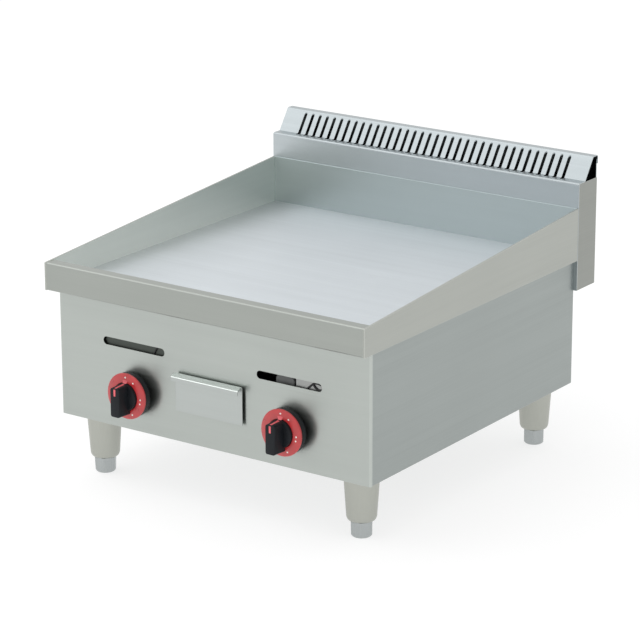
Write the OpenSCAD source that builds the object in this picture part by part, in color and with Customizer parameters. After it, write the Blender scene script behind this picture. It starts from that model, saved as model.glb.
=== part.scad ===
// Counter-top flat top griddle: a gas-fired steel plate in a folded sheet-metal body.
// X runs to the right, Y to the back and Z up. The floor is at Z = 0, under the middle of the griddle.

/* [Overall] */
// Width across the cooking tray and the flue box
tray_w = 600; // [500:1:720]
// Depth of the cooking tray, from its front face to the flue box
tray_d = 606; // [505:1:728]
// Depth of the flue box behind the tray
flue_d = 58; // [50:1:70]
// Height of the body's walls, from their lower edge to the apron's lower edge
shell_h = 208; // [174:1:250]
// Height of the lower edge of the body above the floor, with the feet screwed in
foot_h = 101; // [85:1:122]

/* [Sheet metal] */
// Thickness of the body's sheet
sheet_t = 1.2; // [1:0.1:2]
// Thickness of the tray's sheet
tray_t = 1.5; // [1:0.1:2]
// Inside radius of every bend
bend_r = 1.8; // [1:0.1:3]
// Gap left between sheets that slide past each other
sheet_gap = 0.1; // [0.05:0.05:0.3]

/* [Cooking tray] */
// Height of the apron round the tray's front
apron_h = 45; // [35:1:55]
// Depth of the ledge on top of the apron
ledge_d = 20; // [14:1:26]
// Depth of the plate below the ledge
plate_drop = 36; // [28:1:40]
// Thickness of the griddle plate
plate_t = 8; // [6:1:9]
// Thickness of the hemmed side splashes
splash_t = 3; // [2:0.5:5]
// Rise of the side splashes at the back, above the ledge
splash_rise = 42; // [30:1:55]
// Width of the drain slot in the plate
drain_w = 80; // [60:1:90]
// Depth of the drain slot in the plate
drain_d = 16; // [12:1:20]
// Distance from the front panel to the drain slot
drain_inset = 4; // [3:1:8]

/* [Body] */
// Distance the body's sides stand inside the tray
body_inset = 6; // [5:0.5:10]
// Distance the front panel stands behind the apron
panel_setback = 26; // [22:1:32]
// Width of the flange under each side panel
flange_w = 15; // [10:1:20]

/* [Flue box] */
// Height of the flue box's lower edge below the ledge
flue_low = 95; // [80:1:110]
// Height of the flue box's front above the ledge
flue_high = 83; // [75:1:100]
// Depth of the shelf in front of the vent
shelf_d = 18.5; // [15:0.5:22]
// Depth of the vent's slope
slope_d = 24.5; // [20:0.5:26]
// Height of the vent's slope
slope_h = 35.5; // [30:0.5:42]
// Height of the lip that hangs down behind the flue box
lip_h = 14; // [10:1:20]
// Width of one vent slot
vent_slot_w = 5.6; // [4:0.1:7]
// Distance from one vent slot to the next
vent_pitch = 14.8; // [12:0.1:18]
// Plain sheet left at each end of the row of vent slots
vent_margin = 41; // [30:1:60]
// Distance the vent slots run forward onto the shelf
vent_hook = 5; // [4:0.5:6]
// Distance the vent slots' upper ends stay in front of the slope's top
vent_slope_end = 4.9; // [4.1:0.1:5.5]

/* [Sight slots] */
// Width of each sight slot
sight_w = 119.5; // [100:0.5:130]
// Height of each sight slot
sight_h = 12.8; // [10:0.1:16]
// Height of the sight slots' middle above the body's lower edge
sight_rise = 137.2; // [130:0.1:142]

/* [Knobs and taps] */
// Distance of each knob's axis from the middle
knob_x = 147; // [140:1:160]
// Height of the knobs' axis above the body's lower edge
knob_rise = 62; // [58:1:64]
// Radius of the knob's dial
dial_r = 37; // [31:0.5:44]
// Gap between the knob's skirt and the front panel
knob_gap = 6; // [5.5:0.5:8]
// Height of the knob's skirt behind the dial ring
skirt_h = 13; // [11:0.5:15]
// Thickness of the dial ring
ring_t = 4; // [3:0.5:5]
// Radius of the knob's hub
hub_r = 22; // [20:0.5:24]
// Distance the hub stands above the dial ring
hub_rise = 5; // [3:0.5:8]
// Width of the knob's grip
grip_w = 18; // [15:0.5:22]
// Reach of the grip above the axis
grip_up = 21; // [18:0.5:22]
// Reach of the grip below the axis
grip_down = 28; // [23:0.5:33]
// Radius of the grip's corners
grip_round = 4; // [2:0.5:6]
// Distance from the front panel to the grip's front
knob_h = 50; // [42:0.5:60]
// Radius of the tap's stem
stem_r = 4; // [3:0.1:5]
// Running clearance of a turning or sliding shaft, on the radius
fit_gap = 0.06; // [0.03:0.01:0.09]
// Distance the knob is pushed in
push_travel = 4; // [3:0.5:4.5]
// Radius of the tap's body
tap_r = 14; // [12:0.5:16]
// Radius of the tap's plug
plug_r = 8; // [7:0.5:9]
// Length of the tap's body
tap_l = 50; // [46:1:56]

/* [Gas line] */
// Outside radius of the gas pipe
pipe_r = 10.65; // [8:0.05:11]
// Wall of the gas pipe
pipe_t = 2.3; // [1.5:0.1:2.6]
// Radius over the inlet's pipe thread
thread_r = 10.48; // [7.5:0.01:10.9]
// Length of the inlet's pipe thread
thread_l = 20; // [15:1:24]
// Distance the inlet stands out behind the body
inlet_out = 40; // [34:1:45]
// Height of the gas pipe above the body's lower edge
pipe_rise = 26; // [24:1:27]
// Outside radius of each supply tube
supply_r = 4; // [3:0.5:5]

/* [Burners] */
// Outside radius of the burner tube
burner_r = 22; // [18:0.5:24]
// Wall of the burner tube
burner_t = 1.5; // [1:0.1:2]
// Outside radius of the burner's mixing neck
neck_r = 15; // [12:0.5:16]
// Height of the burners' axis above the body's lower edge
burner_rise = 131; // [126:1:134]
// Width of one burner port
port_w = 2; // [1.5:0.1:3]
// Number of ports along each burner
port_count = 18; // [8:1:20]

/* [Pilots] */
// Distance of each pilot's axis outwards from its burner's axis
pilot_out = 27; // [25:0.5:32]
// Radius of the pilot's head
pilot_r = 8; // [6:0.5:9]
// Gap between the front panel and the plates behind the sight slots
bracket_gap = 3; // [2:0.5:6]
// Width of the window in the heat shield behind each pilot
window_w = 24; // [20:1:28]
// Height of the window in the heat shield behind each pilot
window_h = 30; // [25:1:34]

/* [Grease drawer] */
// Width of the drawer's front
drawer_w = 127; // [105:1:153]
// Height of the drawer's front
drawer_h = 62; // [56:1:66]
// Height of the drawer's front above the body's lower edge
drawer_rise = 51; // [49:1:54]
// Length of the drawer's box that stays in the body when it is pulled out
drawer_held = 90; // [70:5:110]
// Gap between the drawer's front and the front panel
drawer_gap = 3.8; // [3:0.1:5]
// Forward reach of the drawer's pull
pull_reach = 10.5; // [9:0.5:12.5]
// Fall of the drawer's pull to its front edge
pull_fall = 5; // [3:0.5:7]
// Distance the drawer slides out
drawer_travel = 300; // [240:5:320]

/* [Feet] */
// Distance of each foot's axis from the side of the tray
foot_inset = 53.5; // [50:0.5:60]
// Distance of the front feet's axis from the tray's front
front_foot_y = 72; // [65:1:80]
// Distance of the rear feet's axis from the back of the body
rear_foot_y = 35; // [32:1:45]
// Radius of the foot's sleeve at its top
sleeve_top_r = 28; // [24:0.5:30]
// Radius of the foot's sleeve above its rounded end
sleeve_low_r = 23.5; // [21:0.5:25]
// Radius of the sleeve's lower rim
sleeve_rim_r = 18.5; // [17:0.5:20]
// Height of the sleeve's rounded end
sleeve_round_h = 9; // [7:0.5:11]
// Height of the hexagonal foot
hex_h = 26; // [22:0.5:30]
// Radius of the hexagonal foot over its corners
hex_r = 18.2; // [15:0.1:18.4]
// Radius of the foot's rounded bottom edge
hex_round = 5; // [3:0.5:6]
// Radius of the foot's threaded stud
stud_r = 6; // [5:0.5:7]
// Distance the foot screws out
foot_travel = 21; // [15:1:24]

/* [Hidden] */

$fn = 48;
EPS = 1;  // how far a cut runs past a face

// Heights
base_z = foot_h;
apron_low_z = base_z + shell_h;
ledge_z = apron_low_z + apron_h;
plate_z = ledge_z - plate_drop;
plate_low_z = plate_z - plate_t;
shell_top_z = plate_low_z - 1;
pan_z = base_z + sheet_t;
floor_z = pan_z + sheet_t;
knob_z = base_z + knob_rise;
sight_z = base_z + sight_rise;
drawer_z = base_z + drawer_rise;
burner_z = base_z + burner_rise;
pipe_z = base_z + pipe_rise;
flue_low_z = ledge_z - flue_low;
shelf_z = ledge_z + flue_high;
top_z = shelf_z + slope_h;
throat_edge = 6;  // sheet left under and over the flue's throat
throat_low_z = flue_low_z + sheet_t + throat_edge;
throat_top_z = plate_low_z - throat_edge;

// Depths, with Y = 0 midway between the knobs' front and the back of the flue box
knob_proud = knob_h - panel_setback;
front_y = (knob_proud - tray_d - flue_d) / 2;
rear_y = front_y + tray_d;
flue_rear_y = rear_y + flue_d;
panel_y = front_y + panel_setback;
panel_in_y = panel_y + sheet_t;
rear_in_y = rear_y - sheet_t;
ledge_y = front_y + ledge_d;
plate_front_y = ledge_y + tray_t;
plate_rear_y = rear_y - tray_t;
flue_back_y = flue_rear_y - sheet_t - sheet_gap;
tap_front_y = panel_y + 4;
rail_y = rear_y - rear_foot_y - 25;
pipe_y = panel_y + 38;
supply_y = panel_y + 28;
neck_front_y = supply_y + 10;
bracket_y = panel_in_y + bracket_gap;

// Widths
half_w = tray_w / 2;
body_x = half_w - body_inset;
body_in_x = body_x - sheet_t;
plate_x = half_w - splash_t;
heat_wall_x = body_in_x - 10;
pipe_x = half_w - 45;
foot_x = half_w - foot_inset;
throat_x = half_w - 50;
pilot_x = knob_x + pilot_out;
flue_in_x = half_w - sheet_t;

// Panels' seams and bends
corner_l = bend_r + sheet_t + 1;
front_foot_at = front_y + front_foot_y;
rear_foot_at = rear_y - rear_foot_y;
bolt_r = 5;
bolt_head_r = 9;
bolt_head_h = 6.4;

// Apron
apron_seam = 1;  // gap between the apron's lower flange and its rear leg

// Heat shield, behind the taps and the front feet's bolts
shield_y = max(tap_front_y + tap_l + 2, front_foot_at + bolt_head_r + 1);
tube_front_y = shield_y + 18;

// Drawer
drawer_in_gap = 2.5;  // play between the drawer's box and the hole it passes
drawer_lap = 3.5;  // how far the drawer's front covers the panel round its hole
drawer_hole_x = drawer_w / 2 - drawer_lap;
drawer_box_x = drawer_hole_x - drawer_in_gap;
drawer_low_z = drawer_z + 4;
drawer_box_h = drawer_h - 12;
drawer_hole_low_z = drawer_z + drawer_in_gap - 1;
drawer_hole_top_z = drawer_low_z + drawer_box_h + drawer_in_gap - 0.5;
drawer_front_y = panel_y - drawer_gap - sheet_t;
drawer_l = drawer_travel + drawer_held;
guide_x = drawer_box_x + drawer_in_gap + 1;
guide_lap = 10;
guide_gap = 0.3;
guide_room = 2;  // space beside the drawer guides in the heat shield
pull_lip = 2;  // straight part of the pull's turned-down edge
chute_t = 1;
chute_low_z = drawer_low_z + drawer_box_h + 3;

// Burner, injector and tap
spigot_r = 5;  // the burner's rear peg, held in the rail
spigot_gap = 0.2;
port_reach = 9;  // half length of a port, across the tube
port_low = 8;  // height of a port's foot above the burner's axis
port_margin = 15;  // plain tube before the first port and after the last
rail_over = 14;  // how far the rail stands above the burners' axis
spigot_out = 8;  // how far the burner's peg runs past the rail's front
burner_stop = 4;  // distance from the burner's closed end to the rail
nozzle_reach = 4;  // how far the injector reaches into the burner's neck
injector_r = 8;
nozzle_r = 4;
jet_r = 1;
socket_l = 6;  // how deep a supply tube sits in its fitting
socket_wall = 2.5;
supply_t = 1;
injector_low_z = burner_z - 17;
tap_top_z = knob_z + 23;
tube_low_z = tap_top_z - socket_l;
tube_high_z = injector_low_z + socket_l;
gas_way_r = 3;
tap_nose = 10;  // solid metal in front of the tap's cavity
tap_end = 4;  // solid metal behind it
plug_play = 0.3;  // end play of the plug in the cavity

// Pipe fittings
elbow_wall = 3;
elbow_l = 26;
elbow_stop = 12;  // distance from the elbow's corner to the end of each pipe
pipe_end = 4;  // closed end of the gas pipe
pipe_over = 30;  // how far the gas pipe runs past the left tap
pipe_clear = 1;  // plain gap round a pipe where it passes a sheet

// Pilot
pilot_y = shield_y - 9;
pilot_tube_r = 4;
pilot_tube_rise = 40;  // height of the pilot tube's open end above the base pan
pilot_low_z = burner_z - 12;
pilot_top_z = burner_z + 6;
bracket_foot_z = burner_z - 30;
bracket_top_z = sight_z + 20;
window_low_z = burner_z + 4;
left_bracket = [-64, 70];  // reach of each plate from its knob's axis, inwards and outwards
right_bracket = [10, 66];

// Vents in the base
base_vent_w = 8;
base_vent_l = 120;

// Foot
insert_h = 20;
sleeve_t = 3;
sleeve_top_t = 5;
sleeve_low_z = hex_h + 0.7;
stud_low_z = hex_h - 8;
stud_top_z = sleeve_low_z + insert_h + foot_travel;
screw_r = 2;
screw_head_r = 4;
screw_head_h = 1.1;
screw_l = 5;
hole_gap = 0.05;  // how much wider than its screw each plain hole is, on the radius

// Knobs, stems and plugs
skirt_inset = 1;  // how much narrower than the dial ring the skirt is
stem_hold = 6;  // how far the stem reaches past the hub's face into the grip
stem_grasp = 12;  // how far the stem reaches into the plug
ring_clear = 0.3;  // gap between the grip's overhang and the dial ring
ring_back_y = panel_y - knob_gap - skirt_h;
ring_front_y = ring_back_y - ring_t;
hub_front_y = ring_front_y - hub_rise;
grip_front_y = panel_y - knob_h;
stem_front_y = hub_front_y - stem_hold;
plug_front_y = tap_front_y + tap_nose + plug_play;
plug_rear_y = tap_front_y + tap_l - tap_end - plug_play;
stem_rear_y = plug_front_y + stem_grasp;
push_room = push_travel + 4;  // depth of the plug's socket behind the stem

vent_count = floor((tray_w - 2 * vent_margin) / vent_pitch) + 1;

steel = [0.74, 0.76, 0.76];
dull_steel = [0.60, 0.62, 0.62];
dark_steel = [0.35, 0.36, 0.37];
brass = [0.78, 0.62, 0.32];
black = [0.10, 0.10, 0.11];
red = [0.80, 0.14, 0.14];

// ---- Bent sheet ----
function unit(v) = v / norm(v);
function left_of(v) = [-v[1], v[0]];
function cross_sign(a, b) = sign(a[0] * b[1] - a[1] * b[0]);
function turned(v, deg) = [v[0] * cos(deg) - v[1] * sin(deg), v[0] * sin(deg) + v[1] * cos(deg)];

// Points round the bend at corner i of line p, on its near face (side = 0) or its far face (side = 1)
function bend_points(p, i, t, r, side, steps) =
    let (
        a = unit(p[i] - p[i - 1]),
        b = unit(p[i + 1] - p[i]),
        k = cross_sign(a, b),
        angle = acos(a * b),
        near_r = k > 0 ? r + t : r,
        face_r = side == 0 ? near_r : near_r - k * t,
        centre = p[i] - a * near_r * tan(angle / 2) + k * near_r * left_of(a)
    )
    [for (j = [0 : steps]) centre + turned(-k * left_of(a), k * angle * j / steps) * face_r];

function face_points(p, t, r, side, steps) =
    let (last = len(p) - 1)
    concat(
        [p[0] + side * t * left_of(unit(p[1] - p[0]))],
        [for (i = [1 : last - 1]) each bend_points(p, i, t, r, side, steps)],
        [p[last] + side * t * left_of(unit(p[last] - p[last - 1]))]
    );

function reversed(v) = [for (i = [len(v) - 1 : -1 : 0]) v[i]];

// Section of a sheet bent along line p: the sheet lies on the line's left
module bent_section(p, t, steps = 5) {
    polygon(concat(face_points(p, t, bend_r, 0, steps), reversed(face_points(p, t, bend_r, 1, steps))));
}

// Section in Y and Z, drawn out along X from x0 to x1
module along_x(x0, x1) {
    translate([x0, 0, 0]) rotate([90, 0, 90]) linear_extrude(x1 - x0) children();
}

// Section in X and Z, drawn out along Y from y0 to y1
module along_y(y0, y1) {
    translate([0, y1, 0]) rotate([90, 0, 0]) linear_extrude(y1 - y0) children();
}

// Box between two opposite corners
module block(low, high) {
    translate(low) cube(high - low);
}

// Rod along Y, from y0 to y1
module rod_y(x, z, r, y0, y1) {
    translate([x, y1, z]) rotate([90, 0, 0]) cylinder(r = r, h = y1 - y0);
}

// Rod along X, from x0 to x1
module rod_x(y, z, r, x0, x1) {
    translate([x0, y, z]) rotate([0, 90, 0]) cylinder(r = r, h = x1 - x0);
}

// Rod along Z, from z0 to z1
module rod_z(x, y, r, z0, z1) {
    translate([x, y, z0]) cylinder(r = r, h = z1 - z0);
}

// Slot with round ends, w wide and h high, cut along Y from y0 to y1
module long_slot_y(x, z, w, h, y0, y1) {
    reach = (w - h) / 2;
    rod_y(x - reach, z, h / 2, y0, y1);
    rod_y(x + reach, z, h / 2, y0, y1);
    block([x - reach, y0, z - h / 2], [x + reach, y1, z + h / 2]);
}

// ---- Cooking tray ----
module griddle_plate() {
    slot_y = panel_in_y + drain_inset;
    color(steel) difference() {
        block([-plate_x, plate_front_y, plate_low_z], [plate_x, plate_rear_y, plate_z]);
        block([-drain_w / 2, slot_y, plate_low_z - EPS], [drain_w / 2, slot_y + drain_d, plate_z + EPS]);
    }
}

module front_apron() {
    outline = [
        [ledge_y - apron_seam, apron_low_z],
        [front_y, apron_low_z],
        [front_y, ledge_z],
        [plate_front_y, ledge_z],
        [plate_front_y, plate_low_z]
    ];
    color(steel) along_x(-plate_x, plate_x) bent_section(reversed(outline), tray_t);
}

module side_splash(side) {
    low_x = side < 0 ? -half_w : plate_x;
    color(steel) along_x(low_x, low_x + splash_t) polygon([
        [front_y, apron_low_z],
        [rear_y, apron_low_z],
        [rear_y, ledge_z + splash_rise],
        [front_y + tray_t, ledge_z],
        [front_y, ledge_z]
    ]);
}

module rear_splash() {
    color(steel) block([-plate_x, plate_rear_y, plate_low_z], [plate_x, rear_y, ledge_z + splash_rise]);
}

// ---- Flue box ----
module flue_cover() {
    slope_y = rear_y + shelf_d;
    top_y = slope_y + slope_d;
    outline = [
        [rear_y, flue_low_z],
        [rear_y, shelf_z],
        [slope_y, shelf_z],
        [top_y, top_z],
        [flue_rear_y, top_z],
        [flue_rear_y, top_z - lip_h]
    ];
    slot_foot_y = slope_y - vent_hook;
    slot_head_y = top_y - vent_slope_end;
    cut_low_z = shelf_z - sheet_t - 2 * bend_r;
    first_x = -(vent_count - 1) * vent_pitch / 2;
    color(steel) difference() {
        along_x(-half_w, half_w) bent_section(reversed(outline), sheet_t);
        for (i = [0 : vent_count - 1]) {
            translate([first_x + i * vent_pitch, 0, 0]) {
                block(
                    [-vent_slot_w / 2, slot_foot_y, cut_low_z],
                    [vent_slot_w / 2, slot_head_y, top_z + EPS]
                );
                rod_z(0, slot_foot_y, vent_slot_w / 2, cut_low_z, top_z + EPS);
                rod_z(0, slot_head_y, vent_slot_w / 2, cut_low_z, top_z + EPS);
            }
        }
        block([-throat_x, rear_y - EPS, throat_low_z], [throat_x, rear_y + 2 * sheet_t, throat_top_z]);
    }
}

module flue_side(side) {
    low_x = side < 0 ? -half_w : flue_in_x;
    inner_y = rear_y + sheet_t;
    under_z = shelf_z - sheet_t;
    color(steel) along_x(low_x, low_x + sheet_t) polygon([
        [inner_y, flue_low_z],
        [flue_back_y, flue_low_z],
        [flue_back_y, under_z],
        [inner_y + bend_r, under_z],
        [inner_y, under_z - bend_r]
    ]);
}

module flue_back() {
    color(steel) difference() {
        block([-flue_in_x, flue_back_y - sheet_t, flue_low_z], [flue_in_x, flue_back_y, top_z - lip_h / 2]);
        for (p = flue_screws()) {
            rod_y(p[0], p[1], screw_r + hole_gap, flue_back_y - sheet_t - EPS, flue_back_y + EPS);
        }
    }
}

module flue_floor() {
    color(dull_steel) block(
        [-flue_in_x, rear_y + sheet_t, flue_low_z],
        [flue_in_x, flue_back_y - sheet_t, flue_low_z + sheet_t]
    );
}

// ---- Body ----
module front_panel() {
    outline = [
        [-body_x, panel_y + corner_l],
        [-body_x, panel_y],
        [body_x, panel_y],
        [body_x, panel_y + corner_l]
    ];
    color(steel) difference() {
        translate([0, 0, base_z]) linear_extrude(shell_top_z - base_z) bent_section(outline, sheet_t);
        for (side = [-1, 1]) {
            long_slot_y(side * knob_x, sight_z, sight_w, sight_h, panel_y - EPS, panel_in_y + EPS);
            rod_y(side * knob_x, knob_z, stem_r + 2, panel_y - EPS, panel_in_y + EPS);
        }
        block(
            [-drawer_hole_x, panel_y - EPS, drawer_hole_low_z],
            [drawer_hole_x, panel_in_y + EPS, drawer_hole_top_z]
        );
    }
}

module side_panel(side) {
    outline = [
        [body_x, shell_top_z],
        [body_x, base_z],
        [body_x - flange_w, base_z]
    ];
    color(dull_steel) mirror([side < 0 ? 1 : 0, 0, 0])
        along_y(panel_y + corner_l, rear_y) bent_section(reversed(outline), sheet_t);
}

module rear_panel() {
    color(dull_steel) difference() {
        block([-body_in_x, rear_in_y, floor_z], [body_in_x, rear_y, shell_top_z]);
        block([-throat_x, rear_in_y - EPS, throat_low_z], [throat_x, rear_y + EPS, throat_top_z]);
        rod_y(pipe_x, pipe_z, pipe_r + pipe_clear, rear_in_y - EPS, rear_y + EPS);
        for (p = rear_screws()) {
            rod_y(p[0], p[1], screw_r + hole_gap, rear_in_y - EPS, rear_y + EPS);
        }
    }
}

module base_pan() {
    color(dull_steel) difference() {
        block([bend_r - body_in_x, panel_in_y, pan_z], [body_in_x - bend_r, rear_y, floor_z]);
        for (x = [-foot_x, foot_x]) {
            for (y = [front_foot_at, rear_foot_at]) {
                rod_z(x, y, bolt_r + hole_gap, pan_z - EPS, floor_z + EPS);
            }
        }
        for (i = [-4 : 4]) {
            vent_x = i * body_in_x / 6;
            block(
                [vent_x - base_vent_w / 2, -base_vent_l / 2, pan_z - EPS],
                [vent_x + base_vent_w / 2, base_vent_l / 2, floor_z + EPS]
            );
        }
    }
}

// ---- Combustion chamber ----
module heat_shield() {
    color(dark_steel) difference() {
        block([-body_in_x, shield_y, floor_z], [body_in_x, shield_y + sheet_t, plate_low_z]);
        block(
            [-guide_x - guide_room, shield_y - EPS, floor_z - EPS],
            [guide_x + guide_room, shield_y + sheet_t + EPS, chute_low_z + EPS]
        );
        rod_y(
            pipe_x, pipe_z, pipe_r + elbow_wall + pipe_clear,
            shield_y - EPS, shield_y + sheet_t + EPS
        );
        for (side = [-1, 1]) {
            rod_y(side * knob_x, burner_z, neck_r + hole_gap, shield_y - EPS, shield_y + sheet_t + EPS);
            block(
                [side * pilot_x - window_w / 2, shield_y - EPS, window_low_z],
                [side * pilot_x + window_w / 2, shield_y + sheet_t + EPS, window_low_z + window_h]
            );
        }
    }
}

module heat_wall(side) {
    low_x = side < 0 ? -heat_wall_x : heat_wall_x - sheet_t;
    color(dark_steel) block(
        [low_x, shield_y + sheet_t, floor_z],
        [low_x + sheet_t, rear_in_y, plate_low_z]
    );
}

module burner_rail() {
    inner_x = heat_wall_x - sheet_t;
    color(dark_steel) difference() {
        block([-inner_x, rail_y, floor_z], [inner_x, rail_y + tray_t, burner_z + rail_over]);
        for (side = [-1, 1]) {
            rod_y(side * knob_x, burner_z, spigot_r + spigot_gap, rail_y - EPS, rail_y + tray_t + EPS);
        }
        rod_y(pipe_x, pipe_z, pipe_r + pipe_clear, rail_y - EPS, rail_y + tray_t + EPS);
    }
}

module burner(x) {
    tube_rear_y = rail_y - burner_stop;
    port_pitch = (tube_rear_y - tube_front_y - 2 * port_margin) / (port_count - 1);
    color(dull_steel) difference() {
        union() {
            rod_y(x, burner_z, neck_r, neck_front_y, tube_front_y + burner_t);
            rod_y(x, burner_z, burner_r, tube_front_y, tube_rear_y);
            rod_y(x, burner_z, spigot_r, tube_rear_y, rail_y + spigot_out);
        }
        rod_y(x, burner_z, neck_r - burner_t, neck_front_y - EPS, tube_front_y + 2 * EPS);
        rod_y(x, burner_z, burner_r - burner_t, tube_front_y + burner_t, tube_rear_y - burner_t);
        for (i = [0 : port_count - 1]) {
            port_y = tube_front_y + port_margin + i * port_pitch;
            block(
                [x - port_reach, port_y - port_w / 2, burner_z + port_low],
                [x + port_reach, port_y + port_w / 2, burner_z + burner_r + EPS]
            );
        }
    }
}

module injector(x) {
    jet_front_y = supply_y - injector_r / 2;
    nozzle_end_y = neck_front_y + nozzle_reach;
    color(brass) difference() {
        union() {
            rod_y(x, burner_z, injector_r, supply_y - injector_r, supply_y + injector_r);
            rod_y(x, burner_z, nozzle_r, supply_y + injector_r, nozzle_end_y);
            rod_z(x, supply_y, supply_r + socket_wall, injector_low_z, burner_z);
        }
        rod_y(x, burner_z, jet_r, jet_front_y, nozzle_end_y + EPS);
        rod_z(x, supply_y, supply_r - supply_t, tube_high_z - EPS, burner_z);
        rod_z(x, supply_y, supply_r + hole_gap, injector_low_z - EPS, tube_high_z);
    }
}

module supply_tubes() {
    color(brass) for (side = [-1, 1]) {
        difference() {
            rod_z(side * knob_x, supply_y, supply_r, tube_low_z, tube_high_z);
            rod_z(side * knob_x, supply_y, supply_r - supply_t, tube_low_z - EPS, tube_high_z + EPS);
        }
    }
}

// ---- Gas line ----
module tap_body(x) {
    cavity_y = tap_front_y + tap_nose;
    cavity_end_y = tap_front_y + tap_l - tap_end;
    color(brass) difference() {
        union() {
            rod_y(x, knob_z, tap_r, tap_front_y, tap_front_y + tap_l);
            rod_z(x, pipe_y, plug_r, pipe_z, knob_z);
            rod_z(x, supply_y, supply_r + gas_way_r, knob_z, tap_top_z);
        }
        rod_y(x, knob_z, stem_r + fit_gap, tap_front_y - EPS, cavity_y + EPS);
        rod_y(x, knob_z, plug_r + fit_gap, cavity_y, cavity_end_y);
        rod_x(pipe_y, pipe_z, pipe_r + hole_gap, x - 2 * tap_r, x + 2 * tap_r);
        rod_z(x, pipe_y, gas_way_r, pipe_z, knob_z);
        rod_z(x, supply_y, gas_way_r, knob_z, tap_top_z + EPS);
        rod_z(x, supply_y, supply_r + hole_gap, tube_low_z, tap_top_z + EPS);
    }
}

module manifold_pipe() {
    end_x = pipe_x - elbow_stop;
    start_x = -knob_x - pipe_over;
    color(dull_steel) difference() {
        rod_x(pipe_y, pipe_z, pipe_r, start_x, end_x);
        rod_x(pipe_y, pipe_z, pipe_r - pipe_t, start_x + pipe_end, end_x + EPS);
    }
}

module inlet_elbow() {
    socket_r = pipe_r + elbow_wall;
    color(dark_steel) difference() {
        union() {
            rod_x(pipe_y, pipe_z, socket_r, pipe_x - elbow_l, pipe_x);
            rod_y(pipe_x, pipe_z, socket_r, pipe_y, pipe_y + elbow_l);
            translate([pipe_x, pipe_y, pipe_z]) sphere(r = socket_r);
        }
        rod_x(pipe_y, pipe_z, pipe_r - pipe_t, pipe_x - elbow_stop - EPS, pipe_x);
        rod_y(pipe_x, pipe_z, pipe_r - pipe_t, pipe_y, pipe_y + elbow_stop + EPS);
        rod_x(pipe_y, pipe_z, pipe_r + hole_gap, pipe_x - elbow_l - EPS, pipe_x - elbow_stop);
        rod_y(pipe_x, pipe_z, pipe_r + hole_gap, pipe_y + elbow_stop, pipe_y + elbow_l + EPS);
    }
}

module gas_inlet_pipe() {
    start_y = pipe_y + elbow_stop;
    out_y = rear_y + inlet_out;
    color(dull_steel) difference() {
        union() {
            rod_y(pipe_x, pipe_z, pipe_r, start_y, out_y - thread_l);
            rod_y(pipe_x, pipe_z, thread_r, out_y - thread_l, out_y);
        }
        rod_y(pipe_x, pipe_z, pipe_r - pipe_t, start_y - EPS, out_y + EPS);
    }
}

// ---- Pilots ----
module pilot(side) {
    color(dark_steel) {
        rod_z(side * pilot_x, pilot_y, pilot_tube_r, floor_z + pilot_tube_rise, pilot_low_z);
        rod_z(side * pilot_x, pilot_y, pilot_r, pilot_low_z, pilot_top_z);
    }
}

// Plate behind a sight slot, with a foot that holds the pilot: reach is from its knob's axis, outwards
module pilot_bracket(side, reach) {
    color(steel) mirror([side < 0 ? 1 : 0, 0, 0]) difference() {
        union() {
            block(
                [knob_x + reach[0], bracket_y, bracket_foot_z],
                [knob_x + reach[1], bracket_y + sheet_t, bracket_top_z]
            );
            block(
                [knob_x + reach[0], bracket_y, bracket_foot_z],
                [knob_x + reach[1], shield_y, bracket_foot_z + sheet_t]
            );
        }
        rod_z(knob_x, supply_y, injector_r + 1, bracket_foot_z - EPS, bracket_foot_z + sheet_t + EPS);
        rod_z(
            pilot_x, pilot_y, pilot_tube_r + hole_gap,
            bracket_foot_z - EPS, bracket_foot_z + sheet_t + EPS
        );
    }
}

// ---- Grease drawer and its way ----
module drain_chute() {
    inner_x = drain_w / 2;
    inner_y = panel_in_y + drain_inset;
    color(dull_steel) difference() {
        block(
            [-inner_x - chute_t, inner_y - chute_t, chute_low_z],
            [inner_x + chute_t, inner_y + drain_d + chute_t, plate_low_z]
        );
        block(
            [-inner_x, inner_y, chute_low_z - EPS],
            [inner_x, inner_y + drain_d, plate_low_z + EPS]
        );
    }
}

module drawer_guide(side) {
    outline = [
        [guide_x - guide_lap, drawer_low_z - guide_gap],
        [guide_x, drawer_low_z - guide_gap],
        [guide_x, floor_z]
    ];
    color(dull_steel) mirror([side < 0 ? 1 : 0, 0, 0]) difference() {
        along_y(panel_in_y, panel_in_y + drawer_l) bent_section(reversed(outline), sheet_t);
        rod_x(pipe_y, pipe_z, pipe_r + pipe_clear, guide_x - 2 * guide_lap, guide_x + EPS);
    }
}

module drawer_box() {
    box_front_y = drawer_front_y + sheet_t;
    color(steel) difference() {
        block(
            [-drawer_box_x, box_front_y, drawer_low_z],
            [drawer_box_x, box_front_y + drawer_l, drawer_low_z + drawer_box_h]
        );
        block(
            [-drawer_box_x + sheet_t, box_front_y + sheet_t, drawer_low_z + sheet_t],
            [drawer_box_x - sheet_t, box_front_y + drawer_l - sheet_t, drawer_low_z + drawer_box_h + EPS]
        );
    }
}

module drawer_front() {
    outline = [
        [drawer_front_y, drawer_z],
        [drawer_front_y, drawer_z + drawer_h],
        [drawer_front_y - pull_reach, drawer_z + drawer_h - pull_fall],
        [drawer_front_y - pull_reach, drawer_z + drawer_h - pull_fall - 2 * bend_r - pull_lip]
    ];
    color(steel) along_x(-drawer_w / 2, drawer_w / 2) bent_section(reversed(outline), sheet_t);
}

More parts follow.
